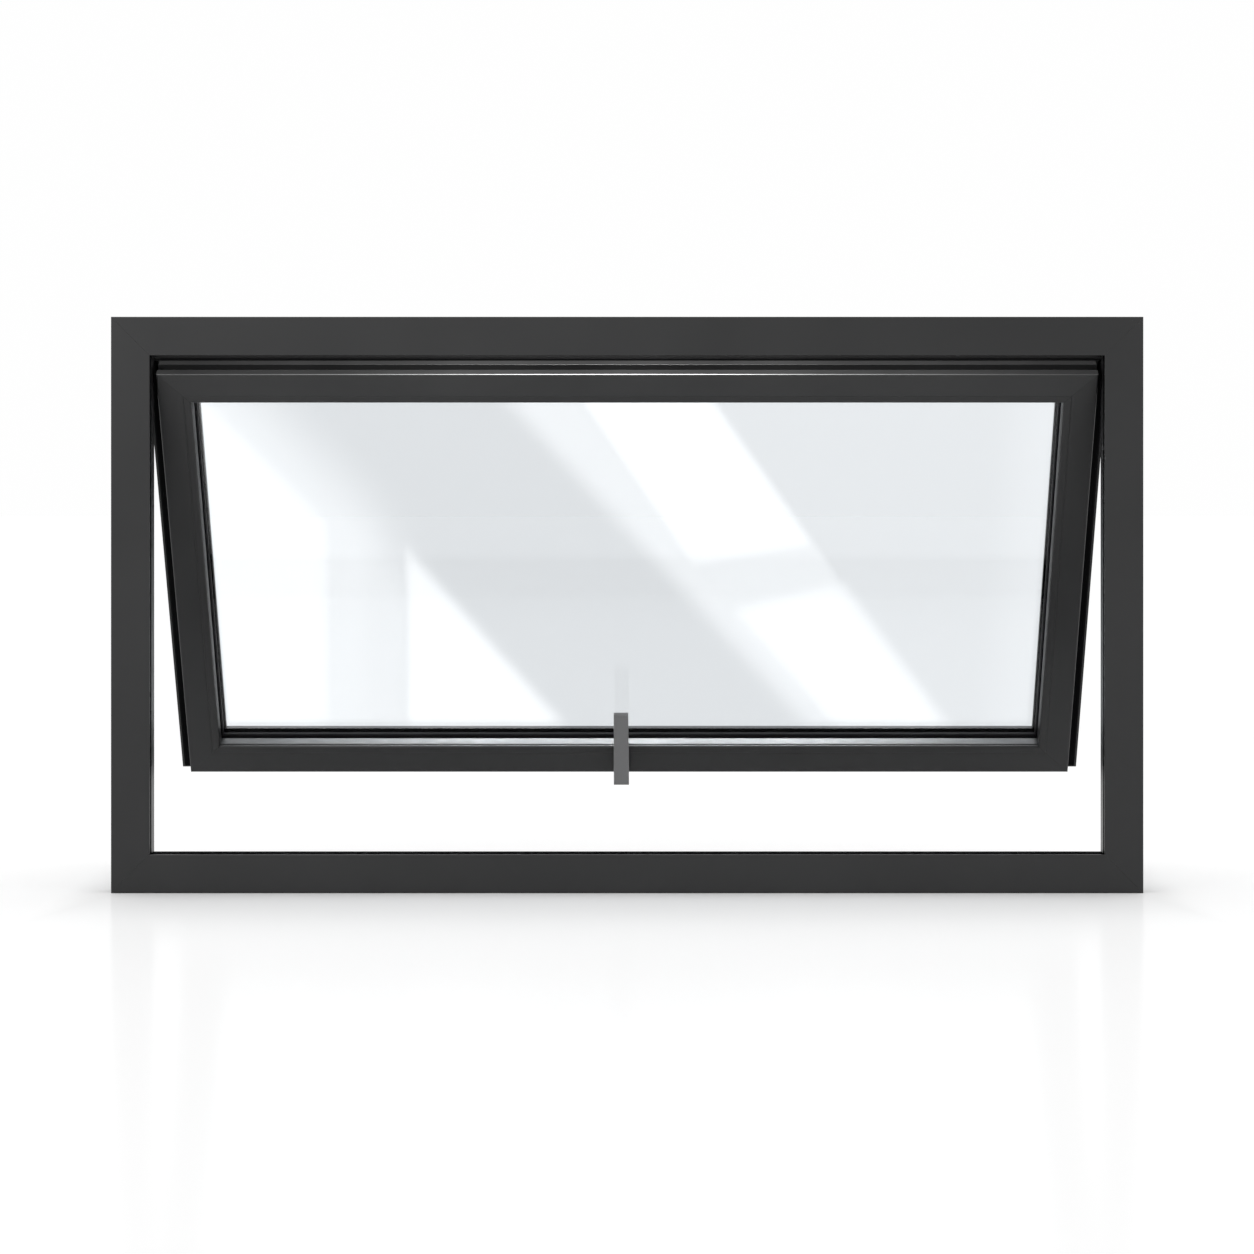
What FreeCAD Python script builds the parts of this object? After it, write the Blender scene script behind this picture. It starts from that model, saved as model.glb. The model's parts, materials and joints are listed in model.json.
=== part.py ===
"""Top hung awning window in powder coated aluminium.

A mitred frame carries a sash that hangs from a hook hinge along the head and swings outward.
X runs along the width, Y points outdoors and Z up. The origin is the middle of the sill's underside.
Members are drawn as the top one of a ring of four: local X along the bar, Y from the room side
outward, and -Z from the bar's outer edge toward the middle of the window.
"""
import FreeCAD, Part
import Sketcher
import math
import os
import re

SIZES = {
    # outer frame
    "frame_width": 1200.0,
    "frame_height": 670.0,
    "frame_face": 45.0,
    "frame_depth": 36.0,
    "frame_wall": 1.8,
    "frame_edge_radius": 1.0,
    "lug_groove_width": 4.0,
    "lug_groove_depth": 3.0,
    "lug_groove_inset": 5.0,
    "frame_lip": 3.5,
    "strip_width": 10.5,
    "sill_strip_width": 26.0,
    "strip_depth": 6.0,
    "fixing_hole_radius": 3.25,
    "jamb_fixing_spacing": 370.0,
    "head_fixing_spacing": 760.0,
    # room left between frame and sash
    "sash_gap": 5.0,
    "sill_gap": 5.0,
    "sash_setback": 8.0,
    "seal_gap": 5.0,
    "seal_clearance": 0.5,
    "seal_width": 10.5,
    "seal_tip_width": 6.0,
    "seal_inset": 2.5,
    # sash bars
    "sash_face": 29.5,
    "sash_wall": 1.8,
    "sash_edge_radius": 1.5,
    "flange_reach": 15.0,
    "flange_thickness": 3.0,
    "edge_land": 11.0,
    "hardware_groove_width": 13.0,
    "hardware_groove_depth": 8.0,
    "glazing_leg": 14.4,
    "leg_rim": 2.5,
    "leg_rim_width": 6.0,
    # glazing
    "bead_face": 9.5,
    "bead_wall": 1.4,
    "bead_nose_radius": 3.0,
    "bead_line_land": 1.0,
    "bead_line_width": 2.2,
    "bead_line_depth": 1.2,
    "inner_gasket": 2.0,
    "gasket_lip": 1.0,
    "gasket_lip_width": 1.2,
    "outer_gasket": 2.0,
    "pane_thickness": 3.0,
    "pane_gap": 4.0,
    "glass_edge_gap": 4.0,
    "spacer_height": 8.0,
    # hook hinge
    "hinge_bead_radius": 2.5,
    "hinge_clearance": 0.3,
    "hinge_wall": 1.8,
    "hinge_rise": 5.0,
    "hinge_reach": 5.5,
    "hinge_rail_height": 26.0,
    "hook_leaf_height": 22.0,
    "hook_margin": 45.0,
    "open_angle": 31.0,
    "open_limit": 45.0,
    # handle
    "handle_offset": -9.6,
    "handle_inset": 18.0,
    "handle_base_width": 18.6,
    "handle_base_height": 34.0,
    "handle_base_depth": 12.0,
    "handle_base_radius": 2.0,
    "spindle_radius": 3.5,
    "spindle_length": 8.0,
    "spindle_clearance": 0.3,
    "neck_radius": 7.0,
    "neck_length": 13.0,
    "lever_length": 106.5,
    "lever_tail": 16.4,
    "lever_width": 19.0,
    "lever_tip_width": 17.9,
    "lever_thickness": 5.0,
    "lever_edge_radius": 1.5,
    # room past an end that a cut runs on
    "cut_margin": 4.0,
}

# Derived lengths, as expressions of the sizes above.
SASH_WIDTH = "(frame_width - 2 * frame_face - 2 * sash_gap)"
SASH_HEIGHT = "(frame_height - 2 * frame_face - sash_gap - sill_gap)"
SASH_BOTTOM = "(frame_face + sill_gap)"
SASH_TOP = f"({SASH_BOTTOM} + {SASH_HEIGHT})"
ROOM_FACE = "(-frame_depth / 2)"
OUTDOOR_FACE = "(frame_depth / 2)"
SASH_ROOM_FACE = f"({ROOM_FACE} + sash_setback)"
FLANGE_INSIDE = "(frame_depth - sash_setback + seal_gap)"
SASH_DEPTH = f"({FLANGE_INSIDE} + flange_thickness)"
GLASS_OUTSIDE = f"({FLANGE_INSIDE} - outer_gasket)"
GLASS_INSIDE = f"({GLASS_OUTSIDE} - 2 * pane_thickness - pane_gap)"
BEAD_DEPTH = f"({GLASS_INSIDE} - inner_gasket)"
BEAD_EDGE = "(sash_face + bead_face)"
LEG_EDGE = "(sash_face + glazing_leg)"
GLASS_EDGE = "(sash_face + glass_edge_gap)"
HINGE_Y = f"({OUTDOOR_FACE} + hinge_reach)"
HINGE_Z = f"({SASH_TOP} + hinge_rise)"
HINGE_LENGTH = f"({SASH_WIDTH} + 2 * flange_reach)"
SOCKET_RADIUS = "(hinge_bead_radius + hinge_clearance)"
HOOK_RADIUS = f"({SOCKET_RADIUS} + hinge_wall)"

doc = FreeCAD.newDocument("AwningWindow")
sheet = doc.addObject("Spreadsheet::Sheet", "Sizes")
for row, (name, number) in enumerate(SIZES.items(), start=1):
    sheet.set(f"A{row}", name)
    sheet.set(f"B{row}", str(number))
    sheet.setAlias(f"B{row}", name)
doc.recompute()

subparts = []


def sized(text):
    """Points the size names in an expression at the cells of the sheet."""
    return re.sub(r"[a-z]\w*", lambda word: f"Sizes.{word[0]}" if word[0] in SIZES else word[0], text)


def bind(thing, **expressions):
    for path, text in expressions.items():
        thing.setExpression(path.replace("__", "."), sized(text))


def placement(x, y, z, axis=(0, 1, 0), angle="0"):
    """Expression of a placement at a point, turned about an axis."""
    turn = f"create(<<rotation>>; create(<<vector>>; {axis[0]}; {axis[1]}; {axis[2]}); {angle})"
    return f"create(<<placement>>; create(<<vector>>; {x}; {y}; {z}); {turn})"


# The sash hangs open: one turn about the hinge axis carries every piece of it out of the closed place.
sash_pose = doc.addObject("App::Placement", "SashPose")
about_hinge = placement("0", HINGE_Y, HINGE_Z, (1, 0, 0), "open_angle")
from_hinge = placement("0", f"-{HINGE_Y}", f"-{HINGE_Z}")
bind(sash_pose, Placement=f"{about_hinge} * {from_hinge}")


def place(piece, label, closed, on_sash):
    """Names a finished sub-part and puts it in its place, with the sash's turn where it rides there."""
    piece.Label = label
    bind(piece, Placement=f"SashPose.Placement * {closed}" if on_sash else closed)
    subparts.append(piece)
    return piece


def origin_plane(body, role):
    return next(feature for feature in body.Origin.OriginFeatures if feature.Role == role)


def new_sketch(body, name, role):
    sketch = body.newObject("Sketcher::SketchObject", name)
    sketch.AttachmentSupport = [(origin_plane(body, role), "")]
    sketch.MapMode = "FlatFace"
    return sketch


def fix_point(sketch, edge, end, point):
    for kind, text in zip(("DistanceX", "DistanceY"), point):
        index = sketch.addConstraint(Sketcher.Constraint(kind, -1, 1, edge, end, 1.0))
        sketch.setExpression(f"Constraints[{index}]", sized(text))


def draw_outline(sketch, points):
    """Closed outline of straight lines through points given as pairs of expressions."""
    first = sketch.GeometryCount
    count = len(points)
    ring = [FreeCAD.Vector(math.cos(math.tau * i / count), math.sin(math.tau * i / count), 0) for i in range(count)]
    for i in range(count):
        sketch.addGeometry(Part.LineSegment(ring[i], ring[(i + 1) % count]), False)
    for i in range(count):
        following = first + (i + 1) % count
        sketch.addConstraint(Sketcher.Constraint("Coincident", first + i, 2, following, 1))
    for i, point in enumerate(points):
        fix_point(sketch, first + i, 1, point)


def draw_circle(sketch, centre, radius):
    edge = sketch.addGeometry(Part.Circle(FreeCAD.Vector(0, 0, 0), FreeCAD.Vector(0, 0, 1), 1.0), False)
    index = sketch.addConstraint(Sketcher.Constraint("Radius", edge, 1.0))
    sketch.setExpression(f"Constraints[{index}]", sized(radius))
    fix_point(sketch, edge, 3, centre)


def pad(body, sketch, length, both_ways=False):
    feature = body.newObject("PartDesign::Pad", "Pad")
    feature.Profile = sketch
    feature.SideType = "Symmetric" if both_ways else "One side"
    bind(feature, Length=length)
    doc.recompute()
    return feature


def pocket_through(body, sketch):
    """Cuts a sketch through everything, both ways."""
    before = body.Tip.Shape.Volume
    feature = body.newObject("PartDesign::Pocket", "Pocket")
    feature.Profile = sketch
    feature.Type = "ThroughAll"
    feature.SideType = "Symmetric"
    doc.recompute()
    if not feature.Shape.Volume < before:
        raise RuntimeError(f"{feature.Name} cut nothing")
    return feature


def long_edge_towards(shape, direction):
    """Name of the edge along X that lies furthest in a direction."""
    way = FreeCAD.Vector(*direction)
    along = [i for i, edge in enumerate(shape.Edges) if abs(edge.tangentAt(edge.FirstParameter).x) > 0.999]
    best = max(along, key=lambda i: shape.Edges[i].CenterOfMass.dot(way))
    return f"Edge{best + 1}"


def round_edges(body, directions, radius):
    base = body.Tip
    names = [long_edge_towards(base.Shape, direction) for direction in directions]
    feature = body.newObject("PartDesign::Fillet", "Fillet")
    feature.Base = (base, names)
    bind(feature, Radius=radius)
    doc.recompute()
    return feature


def draw_end_waste(sketch, side, length, beyond, inside, square):
    """Outline of what a 45 degree mitre takes off one end; a square cut keeps the flange's end level."""
    corner = f"{side} * {length} / 2"
    high = f"({beyond} + cut_margin)"
    low = f"({inside} + cut_margin)"
    far = f"{side} * ({length} / 2 + {beyond} + 2 * cut_margin)"
    mitre_foot = (f"{corner} - {side} * {low}", f"-{low}")
    if square:
        head = [(corner, "0"), (corner, high)]
    else:
        head = [(f"{corner} + {side} * {high}", high)]
    draw_outline(sketch, [mitre_foot] + head + [(far, high), (far, f"-{low}")])


TOP, RIGHT, BOTTOM, LEFT = range(4)
TURNS = {TOP: "0", RIGHT: "90", BOTTOM: "180", LEFT: "-90"}
HIGH_END = {RIGHT: -1, LEFT: 1}


def ring_place(side, y, width, height, low):
    """Closed place of one bar of a ring of four, with its outer edge on the ring's outline."""
    middle = f"({low} + {height} / 2)"
    x = {TOP: "0", RIGHT: f"{width} / 2", BOTTOM: "0", LEFT: f"-{width} / 2"}[side]
    z = {TOP: f"{low} + {height}", RIGHT: middle, BOTTOM: low, LEFT: middle}[side]
    return placement(x, y, z, (0, 1, 0), TURNS[side])


def bar(name, side, width, height, outlines, beyond, inside, square_high_end=False, rounded=(), radius=None):
    """An extruded bar of a ring: its section along the side's length, rounded edges and mitred ends."""
    length = width if side in (TOP, BOTTOM) else height
    body = doc.addObject("PartDesign::Body", name)
    section = new_sketch(body, "Section", "YZ_Plane")
    for outline in outlines:
        draw_outline(section, outline)
    pad(body, section, f"{length} + 2 * {beyond}", both_ways=True)
    if rounded:
        round_edges(body, rounded, radius)
    ends = new_sketch(body, "Ends", "XZ_Plane")
    for end in (-1, 1):
        draw_end_waste(ends, end, length, beyond, inside, square_high_end and HIGH_END.get(side) == end)
    pocket_through(body, ends)
    return body


# Frame

def frame_section(strip_width):
    """Hollow box with two grooves round the outside for clip-in lugs and one for a strip that faces the sash."""
    groove_end = "(lug_groove_inset + lug_groove_width)"
    strip_end = f"(frame_lip + {strip_width})"
    strip_floor = "(frame_face - strip_depth)"
    lip = "(lug_groove_depth + frame_wall)"
    outside = [
        ("0", "0"),
        ("lug_groove_inset", "0"),
        ("lug_groove_inset", "-lug_groove_depth"),
        (groove_end, "-lug_groove_depth"),
        (groove_end, "0"),
        (f"frame_depth - {groove_end}", "0"),
        (f"frame_depth - {groove_end}", "-lug_groove_depth"),
        ("frame_depth - lug_groove_inset", "-lug_groove_depth"),
        ("frame_depth - lug_groove_inset", "0"),
        ("frame_depth", "0"),
        ("frame_depth", "-frame_face"),
        (strip_end, "-frame_face"),
        (strip_end, f"-{strip_floor}"),
        ("frame_lip", f"-{strip_floor}"),
        ("frame_lip", "-frame_face"),
        ("0", "-frame_face"),
    ]
    chamber = [
        ("frame_wall", f"-{lip}"),
        (f"{groove_end} + frame_wall", f"-{lip}"),
        (f"{groove_end} + frame_wall", "-frame_wall"),
        (f"frame_depth - {groove_end} - frame_wall", "-frame_wall"),
        (f"frame_depth - {groove_end} - frame_wall", f"-{lip}"),
        ("frame_depth - frame_wall", f"-{lip}"),
        ("frame_depth - frame_wall", "-frame_face + frame_wall"),
        (f"{strip_end} + frame_wall", "-frame_face + frame_wall"),
        (f"{strip_end} + frame_wall", f"-{strip_floor} + frame_wall"),
        ("frame_wall", f"-{strip_floor} + frame_wall"),
    ]
    return [outside, chamber]


def strip_section(strip_width):
    """Rubber strip that fills the groove in a frame bar's inward face, flush with it."""
    strip_end = f"frame_lip + {strip_width}"
    strip_floor = "-frame_face + strip_depth"
    return [[
        ("frame_lip", "-frame_face"),
        (strip_end, "-frame_face"),
        (strip_end, strip_floor),
        ("frame_lip", strip_floor),
    ]]


def drill_fixings(body, spacing):
    """Two fixing holes through both walls, midway in the depth."""
    sketch = new_sketch(body, "Fixings", "XY_Plane")
    for end in (-1, 1):
        draw_circle(sketch, (f"{end} * {spacing} / 2", "frame_depth / 2"), "fixing_hole_radius")
    pocket_through(body, sketch)


FRAME_RING = (ROOM_FACE, "frame_width", "frame_height", "0")
for name, side in {"head": TOP, "right_jamb": RIGHT, "sill": BOTTOM, "left_jamb": LEFT}.items():
    strip_width = "sill_strip_width" if side == BOTTOM else "strip_width"
    frame_bar = bar(name, side, "frame_width", "frame_height", frame_section(strip_width), "0", "frame_face",
                    rounded=((0, -1, -1), (0, -1, 1)), radius="frame_edge_radius")
    if side != BOTTOM:
        drill_fixings(frame_bar, "head_fixing_spacing" if side == TOP else "jamb_fixing_spacing")
    place(frame_bar, name, ring_place(side, *FRAME_RING), on_sash=False)
    strip = bar(f"{name}_strip", side, "frame_width", "frame_height", strip_section(strip_width), "0", "frame_face")
    place(strip, f"{name}_strip", ring_place(side, *FRAME_RING), on_sash=False)


# Sash

def sash_section(flange):
    """Hollow bar with a hardware groove in its edge and an outdoor plate: flange, and glazing leg with a rim."""
    groove_end = "edge_land + hardware_groove_width"
    reach = "flange_reach" if flange else "0"
    edge = [
        ("0", "0"),
        ("edge_land", "0"),
        ("edge_land", "-hardware_groove_depth"),
        (groove_end, "-hardware_groove_depth"),
        (groove_end, "0"),
    ]
    flange_root = [(FLANGE_INSIDE, "0"), (FLANGE_INSIDE, reach)] if flange else []
    outdoor = [
        (SASH_DEPTH, reach),
        (SASH_DEPTH, f"-{LEG_EDGE} + leg_rim_width"),
        (f"{SASH_DEPTH} + leg_rim", f"-{LEG_EDGE} + leg_rim_width"),
        (f"{SASH_DEPTH} + leg_rim", f"-{LEG_EDGE}"),
        (FLANGE_INSIDE, f"-{LEG_EDGE}"),
        (FLANGE_INSIDE, "-sash_face"),
        ("0", "-sash_face"),
    ]
    far_wall = f"{FLANGE_INSIDE} - sash_wall"
    chamber = [
        ("sash_wall", "-sash_wall"),
        ("edge_land - sash_wall", "-sash_wall"),
        ("edge_land - sash_wall", "-hardware_groove_depth - sash_wall"),
        (f"{groove_end} + sash_wall", "-hardware_groove_depth - sash_wall"),
        (f"{groove_end} + sash_wall", "-sash_wall"),
        (far_wall, "-sash_wall"),
        (far_wall, "-sash_face + sash_wall"),
        ("sash_wall", "-sash_face + sash_wall"),
    ]
    return [edge + flange_root + outdoor, chamber]


SASH_RING = (SASH_ROOM_FACE, SASH_WIDTH, SASH_HEIGHT, SASH_BOTTOM)
for name, side in {"top_rail": TOP, "right_stile": RIGHT, "bottom_rail": BOTTOM, "left_stile": LEFT}.items():
    flanged = side != TOP
    sash_bar = bar(name, side, SASH_WIDTH, SASH_HEIGHT, sash_section(flanged),
                   "flange_reach" if flanged else "0", LEG_EDGE, square_high_end=True,
                   rounded=((0, -1, 1),), radius="sash_edge_radius")
    place(sash_bar, name, ring_place(side, *SASH_RING), on_sash=True)


def seal_section():
    """Weather seal: a strip on the flange's room side whose narrower tip closes on the frame."""
    high = "(flange_reach - seal_inset)"
    low = f"({high} - seal_width)"
    tip = f"({FLANGE_INSIDE} - seal_gap + seal_clearance)"
    taper = "(seal_width - seal_tip_width) / 2"
    return [[
        (FLANGE_INSIDE, low),
        (FLANGE_INSIDE, high),
        (tip, f"{high} - {taper}"),
        (tip, f"{low} + {taper}"),
    ]]


for name, side in {"right_seal": RIGHT, "sill_seal": BOTTOM, "left_seal": LEFT}.items():
    seal = bar(name, side, SASH_WIDTH, SASH_HEIGHT, seal_section(), "flange_reach", "0", square_high_end=True)
    place(seal, name, ring_place(side, *SASH_RING), on_sash=True)


# Glazing

def bead_section():
    """Hollow glazing bead, flush with the sash's room face, with a fine line sunk beside its nose."""
    line_start = "(bead_nose_radius + bead_line_land)"
    line_end = f"({line_start} + bead_line_width)"
    line_floor = f"-{BEAD_EDGE} + bead_line_depth"
    outside = [
        ("0", "-sash_face"),
        (BEAD_DEPTH, "-sash_face"),
        (BEAD_DEPTH, f"-{BEAD_EDGE}"),
        (line_end, f"-{BEAD_EDGE}"),
        (line_end, line_floor),
        (line_start, line_floor),
        (line_start, f"-{BEAD_EDGE}"),
        ("0", f"-{BEAD_EDGE}"),
    ]
    chamber = [
        ("bead_wall", "-sash_face - bead_wall"),
        (f"{BEAD_DEPTH} - bead_wall", "-sash_face - bead_wall"),
        (f"{BEAD_DEPTH} - bead_wall", f"-{BEAD_EDGE} + bead_nose_radius"),
        ("bead_wall", f"-{BEAD_EDGE} + bead_nose_radius"),
    ]
    return [outside, chamber]


def inner_gasket_section():
    """Wedge between bead and glass, with a lip that leans on the glass past the bead."""
    return [[
        (BEAD_DEPTH, f"-{GLASS_EDGE}"),
        (GLASS_INSIDE, f"-{GLASS_EDGE}"),
        (GLASS_INSIDE, f"-{BEAD_EDGE} - gasket_lip"),
        (f"{GLASS_INSIDE} - gasket_lip_width", f"-{BEAD_EDGE} - gasket_lip"),
        (BEAD_DEPTH, f"-{BEAD_EDGE}"),
    ]]


def outer_gasket_section():
    """Strip between glass and outdoor glazing leg, level with the leg's edge."""
    return [[
        (GLASS_OUTSIDE, f"-{GLASS_EDGE}"),
        (FLANGE_INSIDE, f"-{GLASS_EDGE}"),
        (FLANGE_INSIDE, f"-{LEG_EDGE}"),
        (GLASS_OUTSIDE, f"-{LEG_EDGE}"),
    ]]


GLAZING = {
    "bead": (bead_section, BEAD_EDGE),
    "inner_gasket": (inner_gasket_section, f"({BEAD_EDGE} + gasket_lip)"),
    "outer_gasket": (outer_gasket_section, LEG_EDGE),
}
for kind, (section, inside) in GLAZING.items():
    for prefix, side in {"top": TOP, "right": RIGHT, "bottom": BOTTOM, "left": LEFT}.items():
        nose = ((0, -1, -1),) if kind == "bead" else ()
        strip = bar(f"{prefix}_{kind}", side, SASH_WIDTH, SASH_HEIGHT, section(), "0", inside,
                    rounded=nose, radius="bead_nose_radius")
        place(strip, f"{prefix}_{kind}", ring_place(side, *SASH_RING), on_sash=True)


def box(name, x, y, z):
    block = doc.addObject("Part::Box", name)
    bind(block, Length=x, Width=y, Height=z)
    return block


def glazing_place(depth, inset):
    """Closed place of a slab that is inset from the sash's outline, at a depth behind its room face."""
    return placement(f"-{SASH_WIDTH} / 2 + {inset}", f"{SASH_ROOM_FACE} + {depth}", f"{SASH_BOTTOM} + {inset}")


GLASS_SIZE = (f"{SASH_WIDTH} - 2 * {GLASS_EDGE}", f"{SASH_HEIGHT} - 2 * {GLASS_EDGE}")
PANES = {"inner_pane": GLASS_INSIDE, "outer_pane": f"{GLASS_OUTSIDE} - pane_thickness"}
for name, depth in PANES.items():
    pane = box(name, GLASS_SIZE[0], "pane_thickness", GLASS_SIZE[1])
    place(pane, name, glazing_place(depth, GLASS_EDGE), on_sash=True)

spacer_block = box("SpacerBlock", GLASS_SIZE[0], "pane_gap", GLASS_SIZE[1])
spacer_void = box("SpacerVoid", f"{GLASS_SIZE[0]} - 2 * spacer_height", "pane_gap + 2 * cut_margin",
                  f"{GLASS_SIZE[1]} - 2 * spacer_height")
bind(spacer_void, Placement=placement("spacer_height", "-cut_margin", "spacer_height"))
spacer = doc.addObject("Part::Cut", "glazing_spacer")
spacer.Base = spacer_block
spacer.Tool = spacer_void
place(spacer, "glazing_spacer", glazing_place(f"{GLASS_INSIDE} + pane_thickness", GLASS_EDGE), on_sash=True)


# Hook hinge along the head, local Y and Z from the hinge axis

def rod(name, radius, angle="360", start="0"):
    """Round bar along X on the hinge axis, or the sector of one from a start angle on."""
    cylinder = doc.addObject("Part::Cylinder", name)
    bind(cylinder, Radius=radius, Height=HINGE_LENGTH, Angle=angle)
    axis_along_x = placement(f"-{HINGE_LENGTH} / 2", "0", "0", (1, 1, 1), "120")
    bind(cylinder, Placement=f"{axis_along_x} * {placement('0', '0', '0', (0, 0, 1), start)}")
    return cylinder


def slab(name, y, z, depth, height):
    block = box(name, HINGE_LENGTH, depth, height)
    bind(block, Placement=placement(f"-{HINGE_LENGTH} / 2", y, z))
    return block


def fuse(name, pieces):
    joined = doc.addObject("Part::MultiFuse", name)
    joined.Shapes = pieces
    joined.Refine = True
    return joined


HINGE_PLACE = placement("0", HINGE_Y, HINGE_Z)
rail_plate = slab("RailPlate", "-hinge_reach", "-hinge_wall / 2", "hinge_wall", "hinge_rail_height")
rail_arm = slab("RailArm", "-hinge_reach", "-hinge_wall / 2", "hinge_reach", "hinge_wall")
rail_bead = rod("RailBead", "hinge_bead_radius")
place(fuse("hinge_rail", [rail_plate, rail_arm, rail_bead]), "hinge_rail", HINGE_PLACE, on_sash=False)

# The socket is open where the rail's arm passes, from closed to fully open.
LEAF_Y = f"({SASH_ROOM_FACE} + {SASH_DEPTH} - {HINGE_Y})"
hook_ring = rod("HookRing", HOOK_RADIUS, "360 - open_limit - 2 * hook_margin", "180 + hook_margin")
hook_leaf = slab("HookLeaf", LEAF_Y, "-hinge_rise - hook_leaf_height", "hinge_wall",
                 "hinge_rise + hook_leaf_height")
hook_solid = fuse("HookSolid", [hook_ring, hook_leaf])
hook_bore = rod("HookBore", SOCKET_RADIUS)
hook = doc.addObject("Part::Cut", "hinge_hook")
hook.Base = hook_solid
hook.Tool = hook_bore
place(hook, "hinge_hook", HINGE_PLACE, on_sash=True)


# Handle, local origin where its axis meets the bottom rail's room face, -Y toward the room

HANDLE_PLACE = placement("handle_offset", SASH_ROOM_FACE, f"{SASH_BOTTOM} + handle_inset")


def sketch_off_face(body, name, distance):
    """Sketch that faces the room, at a distance in front of the rail."""
    sketch = new_sketch(body, name, "XZ_Plane")
    bind(sketch, AttachmentOffset__Base__z=distance)
    return sketch


def round_face_rim(body, radius):
    """Rounds the rim of the body's foremost face."""
    base = body.Tip
    front = min(range(len(base.Shape.Faces)), key=lambda i: base.Shape.Faces[i].CenterOfMass.y)
    feature = body.newObject("PartDesign::Fillet", "Rim")
    feature.Base = (base, [f"Face{front + 1}"])
    bind(feature, Radius=radius)
    doc.recompute()
    return feature


base_body = doc.addObject("PartDesign::Body", "handle_base")
plate = sketch_off_face(base_body, "Plate", "0")
draw_outline(plate, [
    ("-handle_base_width / 2", "-handle_inset + handle_base_radius"),
    ("handle_base_width / 2", "-handle_inset + handle_base_radius"),
    ("handle_base_width / 2", "-handle_inset + handle_base_radius + handle_base_height"),
    ("-handle_base_width / 2", "-handle_inset + handle_base_radius + handle_base_height"),
])
pad(base_body, plate, "handle_base_depth")
round_face_rim(base_body, "handle_base_radius")
bore = sketch_off_face(base_body, "Bore", "handle_base_depth")
draw_circle(bore, ("0", "0"), "spindle_radius + spindle_clearance")
bore_cut = base_body.newObject("PartDesign::Pocket", "BoreCut")
bore_cut.Profile = bore
bind(bore_cut, Length="spindle_length + spindle_clearance")
place(base_body, "handle_base", HANDLE_PLACE, on_sash=True)

lever_body = doc.addObject("PartDesign::Body", "handle_lever")
grip = sketch_off_face(lever_body, "Grip", "handle_base_depth + neck_length")
draw_outline(grip, [
    ("-lever_width / 2", "-lever_tail"),
    ("lever_width / 2", "-lever_tail"),
    ("lever_tip_width / 2", "lever_length - lever_tail"),
    ("-lever_tip_width / 2", "lever_length - lever_tail"),
])
pad(lever_body, grip, "lever_thickness")
round_face_rim(lever_body, "lever_edge_radius")
neck = sketch_off_face(lever_body, "Neck", "handle_base_depth + spindle_clearance")
draw_circle(neck, ("0", "0"), "neck_radius")
pad(lever_body, neck, "neck_length - spindle_clearance + lever_thickness / 2")
spindle = sketch_off_face(lever_body, "Spindle", "handle_base_depth - spindle_length")
draw_circle(spindle, ("0", "0"), "spindle_radius")
pad(lever_body, spindle, "spindle_length + neck_length")
place(lever_body, "handle_lever", HANDLE_PLACE, on_sash=True)


doc.recompute()
for thing in doc.Objects:
    if {"Invalid", "Error"} & set(thing.State):
        raise RuntimeError(f"{thing.Label} failed: {thing.State}")
for piece in subparts:
    if piece.Shape.isNull() or not piece.Shape.isValid():
        raise RuntimeError(f"{piece.Label} has no valid shape")

os.makedirs("parts", exist_ok=True)
for piece in subparts:
    piece.Shape.exportStep(f"parts/{piece.Label}.step")
    print(piece.Label, len(piece.Shape.Solids), round(piece.Shape.Volume))
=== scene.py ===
"""Looks of a top hung awning window.

Finishes, small fittings, a pale studio and a camera that faces the room side.
"""

import json
import math

import bmesh
import bpy
from mathutils import Matrix, Vector


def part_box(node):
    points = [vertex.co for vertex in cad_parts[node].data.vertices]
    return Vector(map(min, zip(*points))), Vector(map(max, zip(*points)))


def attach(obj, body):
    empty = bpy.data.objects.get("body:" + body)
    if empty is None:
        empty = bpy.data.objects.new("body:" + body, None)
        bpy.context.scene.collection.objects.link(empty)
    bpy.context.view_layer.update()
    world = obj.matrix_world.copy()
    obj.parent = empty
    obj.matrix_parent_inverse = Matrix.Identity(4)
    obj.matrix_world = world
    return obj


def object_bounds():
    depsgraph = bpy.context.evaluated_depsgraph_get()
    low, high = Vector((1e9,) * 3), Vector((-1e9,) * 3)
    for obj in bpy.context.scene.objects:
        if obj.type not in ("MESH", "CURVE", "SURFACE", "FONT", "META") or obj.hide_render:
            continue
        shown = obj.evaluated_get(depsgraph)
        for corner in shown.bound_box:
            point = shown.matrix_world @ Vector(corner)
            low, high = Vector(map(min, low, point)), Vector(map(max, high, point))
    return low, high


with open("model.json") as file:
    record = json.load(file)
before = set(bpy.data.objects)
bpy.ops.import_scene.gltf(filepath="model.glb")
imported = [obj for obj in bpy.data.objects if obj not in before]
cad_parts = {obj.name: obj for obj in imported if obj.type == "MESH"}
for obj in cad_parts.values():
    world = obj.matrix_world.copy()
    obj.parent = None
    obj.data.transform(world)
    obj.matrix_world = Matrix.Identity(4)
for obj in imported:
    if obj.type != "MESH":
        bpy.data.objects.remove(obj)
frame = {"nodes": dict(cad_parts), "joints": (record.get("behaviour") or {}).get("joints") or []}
cad_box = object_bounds()
nodes = frame["nodes"]
hinge = next(joint for joint in frame["joints"] if joint["name"] == "sash_hinge")
scene = bpy.context.scene

# Main places in metres: X to the right, Y to the outdoors, Z up from the sill's underside

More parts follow.
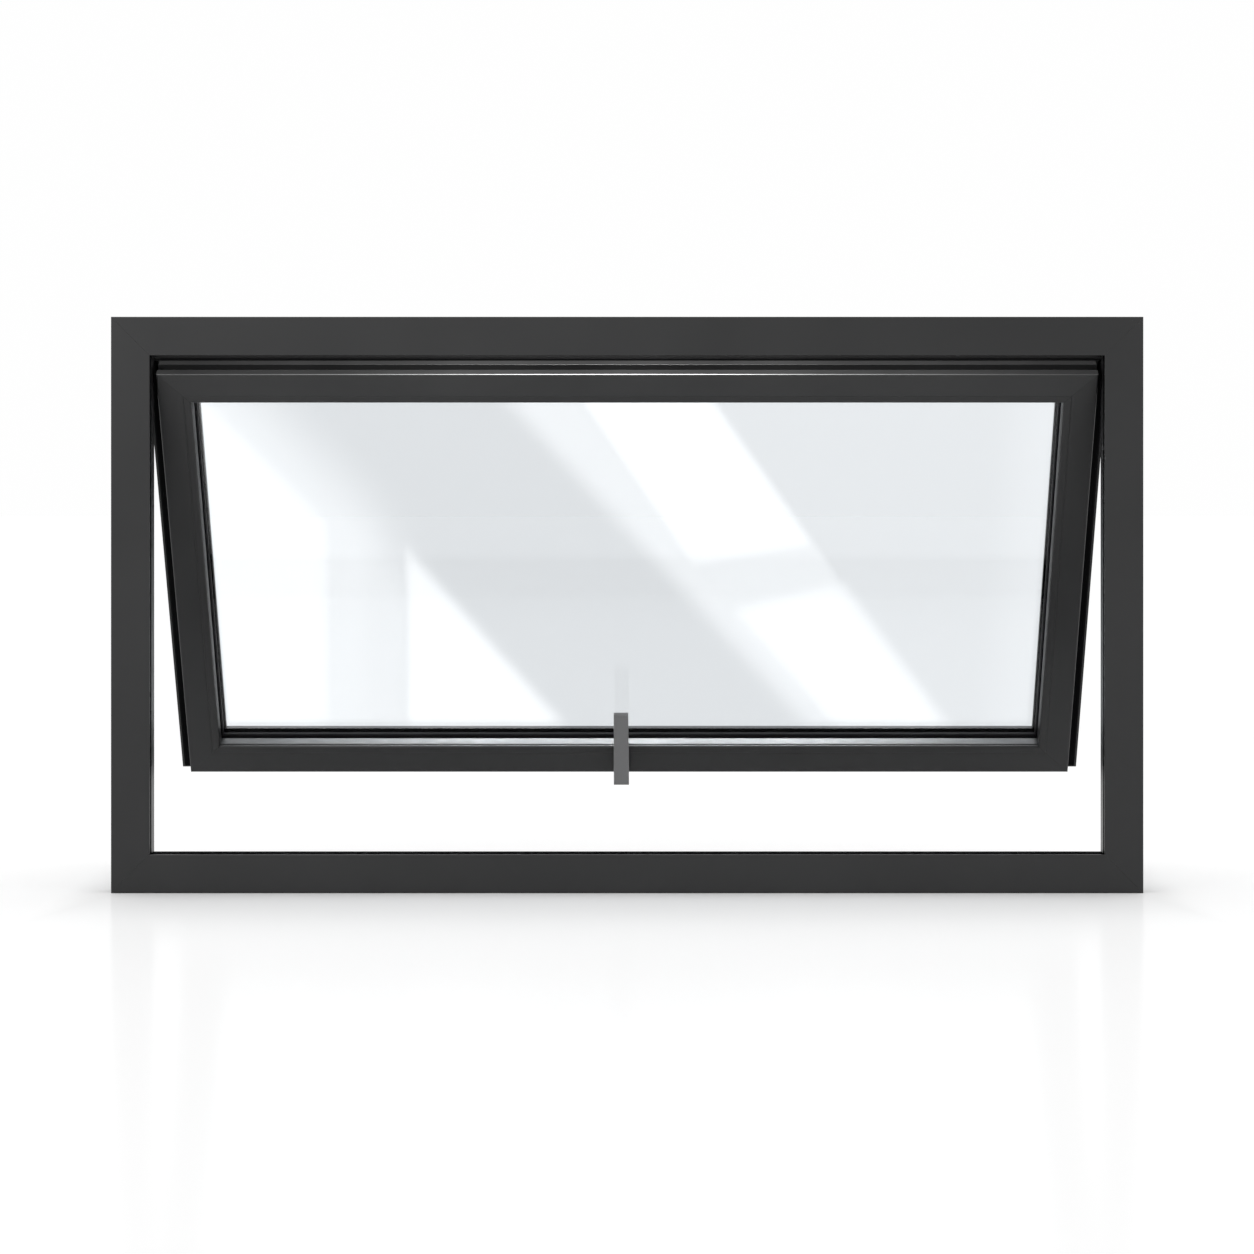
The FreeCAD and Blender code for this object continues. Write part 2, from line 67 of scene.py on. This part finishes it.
MM = 0.001
OUTDOORS = Vector((0, 1, 0))
DOWN = Vector((0, 0, -1))
FRAME_FRONT = cad_box[0][1]
FRAME_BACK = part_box("head")[1][1]
JAMB_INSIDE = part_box("right_jamb")[0][0]
HEAD_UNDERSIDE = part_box("head")[0][2]
OPENING_MIDDLE = (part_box("left_jamb")[0][2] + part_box("left_jamb")[1][2]) / 2
HINGE_AXIS = Vector(hinge["pos_m"])
OPEN_ANGLE = math.radians(-hinge["range_deg"][0])
SASH_SWING = Matrix.Rotation(OPEN_ANGLE, 4, "X")
SASH_OPEN = Matrix.Translation(HINGE_AXIS) @ SASH_SWING @ Matrix.Translation(-HINGE_AXIS)
SASH_NORMAL = Vector((0, -math.cos(OPEN_ANGLE), -math.sin(OPEN_ANGLE)))
BEADS = ("top_bead", "right_bead", "bottom_bead", "left_bead")
PANES = ("inner_pane", "outer_pane")


# Shader steps that the finishes, the floor and the panes' light share

def new_material(name):
    material = bpy.data.materials.new(name)
    material.use_nodes = True
    return material


def show_surface(tree, shader):
    """Puts a shader in the place of the one that a new material has."""
    tree.nodes.remove(tree.nodes["Principled BSDF"])
    tree.links.new(shader.outputs["Shader"], tree.nodes["Material Output"].inputs["Surface"])


def mix_surfaces(tree, first, second):
    mix = tree.nodes.new("ShaderNodeMixShader")
    tree.links.new(first.outputs["BSDF"], mix.inputs[1])
    tree.links.new(second.outputs["BSDF"], mix.inputs[2])
    return mix


def add_math(tree, operation, *values):
    """One step of arithmetic on fixed numbers, given as floats, and values of other nodes."""
    node = tree.nodes.new("ShaderNodeMath")
    node.operation = operation
    for socket, value in zip(node.inputs, values):
        if isinstance(value, float):
            socket.default_value = value
        else:
            tree.links.new(value, socket)
    return node.outputs[0]


def map_range(tree, value, start, end, low=0.0, high=1.0, curve="LINEAR"):
    """Turns a value between start and end into one between low and high."""
    span = tree.nodes.new("ShaderNodeMapRange")
    span.interpolation_type = curve
    span.inputs["From Min"].default_value = start
    span.inputs["From Max"].default_value = end
    span.inputs["To Min"].default_value = low
    span.inputs["To Max"].default_value = high
    tree.links.new(value, span.inputs["Value"])
    return span.outputs["Result"]


def smooth_step(tree, value, start, end):
    """Rises softly from 0 to 1 between start and end, or falls where start is the larger."""
    return map_range(tree, value, start, end, curve="SMOOTHSTEP")


# Finishes

NOISE_LOW = 0.3
NOISE_HIGH = 0.7
DRIFT_SCALE = 7
DRIFT_DETAIL = 4
GRAIN_DETAIL = 2
GRAIN_DEPTH = 0.05 * MM
EVEN_BLEND = 0.5
GRAZING_POWER = 5.0


def add_noise(tree, scale, detail):
    """Noise fixed to the piece, with a scale in grains a metre."""
    place = tree.nodes.new("ShaderNodeTexCoord")
    noise = tree.nodes.new("ShaderNodeTexNoise")
    noise.inputs["Scale"].default_value = scale
    noise.inputs["Detail"].default_value = detail
    tree.links.new(place.outputs["Object"], noise.inputs["Vector"])
    return noise.outputs["Fac"]


def shade_between(tree, factor, dark, light):
    ramp = tree.nodes.new("ShaderNodeValToRGB")
    ramp.color_ramp.elements[0].position = NOISE_LOW
    ramp.color_ramp.elements[0].color = (*dark, 1)
    ramp.color_ramp.elements[1].position = NOISE_HIGH
    ramp.color_ramp.elements[1].color = (*light, 1)
    tree.links.new(factor, ramp.inputs["Fac"])
    return ramp.outputs["Color"]


def add_bump(tree, height, strength):
    bump = tree.nodes.new("ShaderNodeBump")
    bump.inputs["Strength"].default_value = strength
    bump.inputs["Distance"].default_value = GRAIN_DEPTH
    tree.links.new(height, bump.inputs["Height"])
    return bump.outputs["Normal"]


def solid_finish(name, dark, light, roughness, grain, bump, metallic=0.0, gloss=0.5):
    """A finish whose shade and roughness drift in soft patches under a fine grain."""
    material = new_material(name)
    tree = material.node_tree
    shader = tree.nodes["Principled BSDF"]
    shader.inputs["Metallic"].default_value = metallic
    shader.inputs["Specular IOR Level"].default_value = gloss
    drift = add_noise(tree, DRIFT_SCALE, DRIFT_DETAIL)
    fine = add_noise(tree, grain, GRAIN_DETAIL)
    blur = map_range(tree, drift, NOISE_LOW, NOISE_HIGH, *roughness)
    tree.links.new(shade_between(tree, drift, dark, light), shader.inputs["Base Color"])
    tree.links.new(blur, shader.inputs["Roughness"])
    tree.links.new(add_bump(tree, fine, bump), shader.inputs["Normal"])
    return material


def glass_finish(name, tint, head_on):
    """Clear float glass.

    What it mirrors grows from the head-on share towards a grazing view. The rest passes with a faint tint.
    """
    material = new_material(name)
    tree = material.node_tree
    through = tree.nodes.new("ShaderNodeBsdfTransparent")
    through.inputs["Color"].default_value = (*tint, 1)
    mirror = tree.nodes.new("ShaderNodeBsdfGlossy")
    mirror.inputs["Roughness"].default_value = 0.0
    slant = tree.nodes.new("ShaderNodeLayerWeight")
    slant.inputs["Blend"].default_value = EVEN_BLEND
    steep = add_math(tree, "POWER", slant.outputs["Facing"], GRAZING_POWER)
    share = add_math(tree, "MULTIPLY_ADD", steep, 1 - head_on, head_on)
    mix = mix_surfaces(tree, through, mirror)
    tree.links.new(share, mix.inputs["Fac"])
    show_surface(tree, mix)
    return material


COATING = solid_finish(
    "charcoal_coating", dark=(0.008, 0.0082, 0.0088), light=(0.012, 0.0122, 0.0128),
    roughness=(0.36, 0.42), grain=1500, bump=0.06, gloss=0.42)
RUBBER = solid_finish(
    "black_rubber", dark=(0.004, 0.004, 0.0044), light=(0.007, 0.007, 0.0075),
    roughness=(0.6, 0.75), grain=900, bump=0.2, gloss=0.0)
GLASS = glass_finish("window_glass", tint=(0.9317, 0.9403, 0.9476), head_on=0.02)
SPACER_METAL = solid_finish(
    "spacer_bar", dark=(0.014, 0.014, 0.015), light=(0.02, 0.02, 0.021),
    roughness=(0.45, 0.6), grain=700, bump=0.15)
HANDLE_METAL = solid_finish(
    "handle_grey", dark=(0.136, 0.137, 0.139), light=(0.156, 0.157, 0.159),
    roughness=(0.3, 0.38), grain=1200, bump=0.1)
STEEL = solid_finish(
    "screw_steel", dark=(0.4, 0.4, 0.39), light=(0.52, 0.52, 0.51),
    roughness=(0.22, 0.34), grain=1100, bump=0.1, metallic=1.0)
PLASTIC = solid_finish(
    "black_plastic", dark=(0.011, 0.011, 0.0115), light=(0.016, 0.016, 0.0165),
    roughness=(0.42, 0.52), grain=1000, bump=0.15)

FINISH_OF_SLOT = {
    "coated_aluminium": COATING,
    "rubber_seal": RUBBER,
    "clear_glass": GLASS,
    "spacer_bar": SPACER_METAL,
    "handle_metal": HANDLE_METAL,
}


# Soft edges

EDGE_OF_SLOT = {"coated_aluminium": 0.15 * MM, "rubber_seal": 0.2 * MM, "handle_metal": 0.3 * MM}
BEAD_EDGE = 0.4 * MM
EDGE_SEGMENTS = 2
EDGE_SHARPNESS = math.radians(40)
WELD_REACH = 0.001 * MM


def soften_edges(piece, width):
    """Breaks the sharp edges, which also opens a fine groove where two bars meet."""
    weld = piece.modifiers.new("Joined faces", "WELD")
    weld.merge_threshold = WELD_REACH
    edge = piece.modifiers.new("Soft edges", "BEVEL")
    edge.width = width
    edge.segments = EDGE_SEGMENTS
    edge.limit_method = "ANGLE"
    edge.angle_limit = EDGE_SHARPNESS
    edge.use_clamp_overlap = False
    piece.modifiers.new("Flat faces", "WEIGHTED_NORMAL")


for node_name, node in nodes.items():
    slot_name = node.material_slots[0].material.name
    node.material_slots[0].material = FINISH_OF_SLOT[slot_name]
    if node_name in BEADS:
        soften_edges(node, BEAD_EDGE)
    elif slot_name in EDGE_OF_SLOT:
        soften_edges(node, EDGE_OF_SLOT[slot_name])


# Small fittings

LATHE_STEPS = 24
HOOD_END_STEPS = 10
FITTING_SHARPNESS = math.radians(35)
PLUG_DEPTH = 2 * MM
PLUG_RIM = 0.3 * MM
PLUG_SHOULDER = 0.5 * MM
PLUG_RISE = 0.62 * MM


def ring_point(work, place, turn, reach, height, shift=0.0):
    """Point of a ring about the local Z axis, or about a line shifted along X."""
    return work.verts.new(place @ Vector((shift + reach * math.cos(turn), reach * math.sin(turn), height)))


def skin(work, rings):
    """Joins rings of one point count with faces and closes both ends."""
    count = len(rings[0])
    for lower, upper in zip(rings, rings[1:]):
        for step in range(count):
            after = (step + 1) % count
            work.faces.new((lower[step], lower[after], upper[after], upper[step]))
    work.faces.new(rings[0][::-1])
    work.faces.new(rings[-1])


def hexagon(turn):
    """Reach of a hexagon's outline beside that of the circle through its corners."""
    sixth = math.pi / 3
    return math.cos(sixth / 2) / math.cos(turn % sixth - sixth / 2)


def lathe(work, place, profile):
    """Turned form about the local Z axis.

    A profile point is a radius, a height and how far its ring goes from a circle to a hexagon.
    """
    rings = []
    for radius, height, share in profile:
        ring = []
        for step in range(LATHE_STEPS):
            turn = 2 * math.pi * step / LATHE_STEPS
            reach = radius * (1 + share * (hexagon(turn) - 1))
            ring.append(ring_point(work, place, turn, reach, height))
        rings.append(ring)
    skin(work, rings)


def screw_head(work, place, radius):
    """Low domed head with a hexagon socket."""
    height = radius / 2
    socket = radius / 2
    lathe(work, place, [
        (radius, 0, 0),
        (radius, 0.35 * height, 0),
        (0.93 * radius, 0.7 * height, 0),
        (0.75 * radius, 0.94 * height, 0),
        (1.1 * socket, height, 0.5),
        (socket, 0.97 * height, 1),
        (0.97 * socket, 0.25 * height, 1),
    ])


def hole_plug(work, place, hole_radius):
    """Push-in plug: a shank in the hole and a low dome with a rim."""
    shank = 0.97 * hole_radius
    rim = 1.25 * hole_radius
    lathe(work, place, [
        (shank, -PLUG_DEPTH, 0),
        (shank, 0, 0),
        (rim, 0, 0),
        (rim, PLUG_RIM, 0),
        (1.1 * hole_radius, PLUG_SHOULDER, 0),
        (0.6 * hole_radius, PLUG_RISE, 0),
    ])


def weep_cover(work, place, length, height, depth):
    """Low hood over a drain slot, with round ends and a sloped rim."""
    half = length / 2 - height / 2
    levels = ((1.0, 0), (1.0, 0.55 * depth), (0.93, 0.85 * depth), (0.78, depth))
    rings = []
    for share, out in levels:
        ring = []
        for end, shift in ((0, half), (math.pi, -half)):
            for step in range(HOOD_END_STEPS + 1):
                turn = end - math.pi / 2 + math.pi * step / HOOD_END_STEPS
                ring.append(ring_point(work, place, turn, height / 2 * share, out, shift))
        rings.append(ring)
    skin(work, rings)


def facing(position, normal):
    """Place whose local Z axis stands off a surface."""
    return Matrix.Translation(position) @ Vector(normal).to_track_quat("Z", "Y").to_matrix().to_4x4()


def add_fittings(name, body, slot, material, maker, places, *sizes):
    """One piece holding the same small fitting at every place."""
    work = bmesh.new()
    for place in places:
        maker(work, place, *sizes)
    mesh = bpy.data.meshes.new(name)
    work.to_mesh(mesh)
    work.free()
    for face in mesh.polygons:
        face.use_smooth = True
    mesh.set_sharp_from_angle(angle=FITTING_SHARPNESS)
    mesh.materials.append(material)
    piece = bpy.data.objects.new(name, mesh)
    scene.collection.objects.link(piece)
    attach(piece, body)


def spread(count, width):
    """Places along X, evenly spaced about the middle."""
    return [width * (step / (count - 1) - 0.5) for step in range(count)]


HINGE_WALL = 1.8 * MM
HINGE_SCREW_SPREAD = 1000 * MM
LEAF_STAND_OFF = 8 * MM
RAIL_SCREWS = 6
RAIL_SCREW_RADIUS = 3.4 * MM
RAIL_SCREW_RISE = 14 * MM
LEAF_SCREWS = 7
LEAF_SCREW_RADIUS = 3.2 * MM
LEAF_SCREW_DROP = 16 * MM
RAIL_OUTSIDE = FRAME_BACK + HINGE_WALL
LEAF_OUTSIDE = FRAME_BACK + LEAF_STAND_OFF + HINGE_WALL
RAIL_SCREW_HEIGHT = HINGE_AXIS.z + RAIL_SCREW_RISE
LEAF_SCREW_HEIGHT = HINGE_AXIS.z - LEAF_SCREW_DROP
rail_screws = [facing((x, RAIL_OUTSIDE, RAIL_SCREW_HEIGHT), OUTDOORS)
               for x in spread(RAIL_SCREWS, HINGE_SCREW_SPREAD)]
leaf_screws = [SASH_OPEN @ facing((x, LEAF_OUTSIDE, LEAF_SCREW_HEIGHT), OUTDOORS)
               for x in spread(LEAF_SCREWS, HINGE_SCREW_SPREAD)]
add_fittings("hinge_rail_screws", "frame", "handle_metal", STEEL, screw_head, rail_screws, RAIL_SCREW_RADIUS)
add_fittings("hook_leaf_screws", "sash", "handle_metal", STEEL, screw_head, leaf_screws, LEAF_SCREW_RADIUS)

FIXING_HOLE_RADIUS = 3.25 * MM
JAMB_FIXING_SPACING = 370 * MM
HEAD_FIXING_SPACING = 760 * MM
plugs = [facing((side * JAMB_INSIDE, 0, OPENING_MIDDLE + end * JAMB_FIXING_SPACING / 2), (-side, 0, 0))
         for side in (-1, 1) for end in (-1, 1)]
plugs += [facing((end * HEAD_FIXING_SPACING / 2, 0, HEAD_UNDERSIDE), DOWN) for end in (-1, 1)]
add_fittings("fixing_plugs", "frame", "rubber_seal", PLASTIC, hole_plug, plugs, FIXING_HOLE_RADIUS)

WEEPS = 3
WEEP_SPREAD = 800 * MM
WEEP_HEIGHT = 14 * MM
HOOD_LENGTH = 34 * MM
HOOD_HEIGHT = 11 * MM
HOOD_DEPTH = 4 * MM
weeps = [facing((x, FRAME_BACK, WEEP_HEIGHT), OUTDOORS) for x in spread(WEEPS, WEEP_SPREAD)]
add_fittings("weep_covers", "frame", "rubber_seal", PLASTIC, weep_cover, weeps,
             HOOD_LENGTH, HOOD_HEIGHT, HOOD_DEPTH)


# Camera facing the room side, with the frame's picture shifted as in the photograph

PICTURE = 1254
AXIS_PIXEL = (655.9, 492.3)
FOCAL_PIXELS = 3343
SENSOR = 36
EYE_SIDE = 0.0334
EYE_DISTANCE = 3.885
EYE_HEIGHT = 0.466
EYE = Vector((EYE_SIDE, FRAME_FRONT - EYE_DISTANCE, EYE_HEIGHT))

camera_data = bpy.data.cameras.new("camera")
camera_data.sensor_width = SENSOR
camera_data.lens = SENSOR * FOCAL_PIXELS / PICTURE
camera_data.shift_x = 0.5 - AXIS_PIXEL[0] / PICTURE
camera_data.shift_y = AXIS_PIXEL[1] / PICTURE - 0.5
camera = bpy.data.objects.new("camera", camera_data)
camera.location = EYE
camera.rotation_euler = (math.pi / 2, 0, 0)
scene.collection.objects.link(camera)
scene.camera = camera


# Pale floor and white surroundings

FLOOR_REACH = 60
FLOOR_CORNERS = ((-1, -1), (1, -1), (1, 1), (-1, 1))
FLOOR_ROUGHNESS = 0.16
FLOOR_GLOSS = 0.12
# Painted fill light glowing in the floor: its strength near the window and far behind it. SHADOW_SIDE and
# SHADOW_DEPTH bound the painted shadow where the glow is held back.
NEAR_FILL = 0.1
FAR_FILL = 0.047
FILL_FADE_START = 0.5
FILL_FADE_END = 2.5
SHADOW_SIDE = (0.6, 0.66)
SHADOW_DEPTH = (0.05, 0.32)
SURROUNDINGS = (0.995, 0.995, 0.995, 1)


def add_stage(name, corners, faces, material):
    mesh = bpy.data.meshes.new(name)
    mesh.from_pydata(corners, [], faces)
    mesh.materials.append(material)
    stage = bpy.data.objects.new(name, mesh)
    scene.collection.objects.link(stage)


def painted_floor_fill(tree):
    """Painted fill light: the floor itself glows, weaker well behind the window. The glow is held back near
    the window's base, which adds painted shadow to the real contact shadow there.
    """
    place = tree.nodes.new("ShaderNodeSeparateXYZ")
    tree.links.new(tree.nodes.new("ShaderNodeNewGeometry").outputs["Position"], place.inputs[0])
    across = add_math(tree, "ABSOLUTE", place.outputs["X"])
    ahead = add_math(tree, "ABSOLUTE", place.outputs["Y"])
    beside = smooth_step(tree, across, *SHADOW_SIDE)
    before = smooth_step(tree, ahead, *SHADOW_DEPTH)
    near = smooth_step(tree, place.outputs["Y"], FILL_FADE_END, FILL_FADE_START)
    strength = add_math(tree, "MULTIPLY_ADD", near, NEAR_FILL - FAR_FILL, FAR_FILL)
    return add_math(tree, "MULTIPLY", add_math(tree, "MAXIMUM", beside, before), strength)


def floor_finish():
    """Matt white with a thin blurred gloss and a little painted fill light that glows in the floor itself.
    """
    material = new_material("studio_floor")
    tree = material.node_tree
    matt = tree.nodes.new("ShaderNodeBsdfDiffuse")
    matt.inputs["Color"].default_value = (1, 1, 1, 1)
    gloss = tree.nodes.new("ShaderNodeBsdfGlossy")
    gloss.inputs["Roughness"].default_value = FLOOR_ROUGHNESS
    mix = mix_surfaces(tree, matt, gloss)
    mix.inputs["Fac"].default_value = FLOOR_GLOSS
    # Painted fill light: emission in the floor surface, not a lamp
    fill = tree.nodes.new("ShaderNodeEmission")
    tree.links.new(painted_floor_fill(tree), fill.inputs["Strength"])
    total = tree.nodes.new("ShaderNodeAddShader")
    tree.links.new(mix.outputs["Shader"], total.inputs[0])
    tree.links.new(fill.outputs["Emission"], total.inputs[1])
    show_surface(tree, total)
    return material


floor_corners = [(x * FLOOR_REACH, y * FLOOR_REACH, 0) for x, y in FLOOR_CORNERS]
add_stage("floor", floor_corners, [(0, 1, 2, 3)], floor_finish())

world = bpy.data.worlds.new("white_surroundings")
world.use_nodes = True
world.node_tree.nodes["Background"].inputs["Color"].default_value = SURROUNDINGS
scene.world = world


# Soft lights

def node_collection(name, node_names):
    collection = bpy.data.collections.new(name)
    for node_name in node_names:
        collection.objects.link(nodes[node_name])
    return collection


def softbox(name, target, towards, width, height, power, lit=None, shaded_by=None):
    """Rectangular light that stands in a direction from its target.

    It lights all pieces or only the named nodes, and is held off by all pieces or only the named nodes.
    """
    light = bpy.data.lights.new(name, "AREA")
    light.shape = "RECTANGLE"
    light.size = width
    light.size_y = height
    light.energy = power
    lamp = bpy.data.objects.new(name, light)
    lamp.location = Vector(target) + Vector(towards)
    lamp.rotation_euler = (-Vector(towards)).to_track_quat("-Z", "Y").to_euler()
    lamp.visible_camera = False
    lamp.visible_diffuse = False
    if lit:
        lamp.light_linking.receiver_collection = node_collection(f"{name}_receivers", lit)
    if shaded_by:
        lamp.light_linking.blocker_collection = node_collection(f"{name}_blockers", shaded_by)
    scene.collection.objects.link(lamp)
    return lamp


def middle(node_name):
    low, high = (Vector(corner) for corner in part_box(node_name))
    return (low + high) / 2


FRONT_TARGET = (0, 0, 0.4)
FRONT_REACH = (-1.3, -2.6, 1.8)
STRIP_DISTANCE = 2
EDGE_REACH = (-0.02, -0.547, 0.651)
TOP_RAIL = ("top_rail",)

# The front light reaches all pieces but the panes, which would mirror it as a hard rectangle
front = softbox("front_softbox", FRONT_TARGET, FRONT_REACH, width=1.6, height=1.0, power=40, lit=PANES)
for pane in front.light_linking.receiver_collection.collection_objects:
    pane.light_linking.link_state = "EXCLUDE"

# Strips that the upper faces of the bottom bead and the rails mirror to the camera
bead_top = Vector((0, -math.sin(OPEN_ANGLE), math.cos(OPEN_ANGLE)))
overhead = OUTDOORS.reflect(bead_top) * STRIP_DISTANCE
softbox("bead_strip", middle("bottom_bead"), overhead, width=1.0, height=0.6, power=75, lit=BEADS)
softbox("leg_strip", middle("bottom_rail"), overhead, width=1.6, height=0.6, power=20, lit=("bottom_rail",))
softbox("land_strip", middle("top_rail"), overhead, width=1.6, height=0.6, power=24,
        lit=TOP_RAIL, shaded_by=TOP_RAIL)
softbox("edge_strip", middle("top_rail"), EDGE_REACH, width=0.16, height=0.1, power=110,
        lit=TOP_RAIL, shaded_by=TOP_RAIL)


# Reflections in the panes: a level patterned softbox under the open sash, which only the panes mirror

PATTERN_LIGHT = 5.0
BOARD_HEIGHT = 50 * MM
PANE_ROOM_FACE = 11 * MM
GLASS_POINT = SASH_OPEN @ Vector((0, PANE_ROOM_FACE, HINGE_AXIS.z))

# Pixels of the picture, as the panes show the board there
BOARD_LEFT = 178
BOARD_RIGHT = 1077
BOARD_TOP = 380
BOARD_BOTTOM = 770
PANE_CORNERS = ((198, 392), (1056, 392), (1026, 756), (230, 756))
PANE_FEATHER = 2

# Brightness, feather and corners of each bright area, in the same pixels
BRIGHT_AREAS = {
    "left panel": (1.0, 20, ((170, 380), (190, 380), (335, 524), (335, 800), (170, 800))),
    "left glow": (0.65, 45, ((120, 266), (395, 539), (395, 840), (120, 840))),
    "left post": (0.55, 40, ((300, 478), (326, 478), (430, 598), (430, 780), (300, 780))),
    "low corner": (1.0, 10, ((405, 552), (590, 760), (405, 760))),
    "slanting edge": (0.6, 15, ((485, 380), (566, 380), (859, 760), (838, 760))),
    "upper bar": (1.0, 9, ((562, 380), (698, 380), (817, 551), (691, 571))),
    "crossing": (0.6, 9, ((691, 560), (817, 545), (845, 590), (722, 615))),
    "lower bar": (1.0, 16, ((722, 610), (840, 581), (973, 760), (857, 760))),
    "right haze": (0.24, 12, ((690, 380), (1100, 380), (1100, 760), (966, 760))),
    "right glow": (0.42, 70, ((1000, 300), (1150, 300), (1150, 800), (960, 800))),
}


def board_point(pixel):
    """Point of the board that the pane shows at a pixel of the picture."""
    across = (pixel[0] - AXIS_PIXEL[0]) / FOCAL_PIXELS
    up = (AXIS_PIXEL[1] - pixel[1]) / FOCAL_PIXELS
    ray = Vector((across, 1, up))
    on_glass = EYE + ray * ((GLASS_POINT - EYE).dot(SASH_NORMAL) / ray.dot(SASH_NORMAL))
    bounced = ray.reflect(SASH_NORMAL)
    return on_glass + bounced * ((BOARD_HEIGHT - on_glass.z) / bounced.z)


def soft_area(tree, place, share, feather, corners):
    """Brightness of an area whose edges fade over a feather on both sides."""
    brightness = share
    for first, second in zip(corners, corners[1:] + corners[:1]):
        start = board_point(first)
        end = board_point(second)
        inward = (end - start).cross(DOWN).normalized()
        depth = tree.nodes.new("ShaderNodeVectorMath")
        depth.operation = "DOT_PRODUCT"
        depth.inputs[1].default_value = inward
        tree.links.new(place, depth.inputs[0])
        edge = start.dot(inward)
        fade = smooth_step(tree, depth.outputs["Value"], edge - feather, edge + feather)
        brightness = add_math(tree, "MULTIPLY", brightness, fade)
    return brightness


def pattern_brightness(tree, pixel_size):
    """The brightest area at each place of the board, where the panes show it."""
    place = tree.nodes.new("ShaderNodeNewGeometry").outputs["Position"]
    brightness = 0.0
    for share, feather, corners in BRIGHT_AREAS.values():
        area = soft_area(tree, place, share, feather * pixel_size, corners)
        brightness = add_math(tree, "MAXIMUM", brightness, area)
    on_pane = soft_area(tree, place, 1.0, PANE_FEATHER * pixel_size, PANE_CORNERS)
    return add_math(tree, "MULTIPLY", brightness, on_pane)


board_low = board_point((BOARD_LEFT, BOARD_TOP))
board_high = board_point((BOARD_RIGHT, BOARD_BOTTOM))
board_middle = (board_low + board_high) / 2
board_width = board_high.x - board_low.x
board_depth = board_high.y - board_low.y
board_pixel = board_width / (BOARD_RIGHT - BOARD_LEFT)
pattern_power = PATTERN_LIGHT * math.pi * board_width * board_depth
pattern = softbox("pane_softbox", board_middle - DOWN, DOWN, board_width, board_depth, pattern_power,
                  lit=PANES, shaded_by=("hinge_rail",))

# It faces straight up, with its width along X
pattern.rotation_euler = (math.pi, 0, 0)
pattern.data.use_nodes = True
pattern_tree = pattern.data.node_tree
pattern_strength = pattern_tree.nodes["Emission"].inputs["Strength"]
pattern_tree.links.new(pattern_brightness(pattern_tree, board_pixel), pattern_strength)

scene.view_settings.view_transform = "Standard"
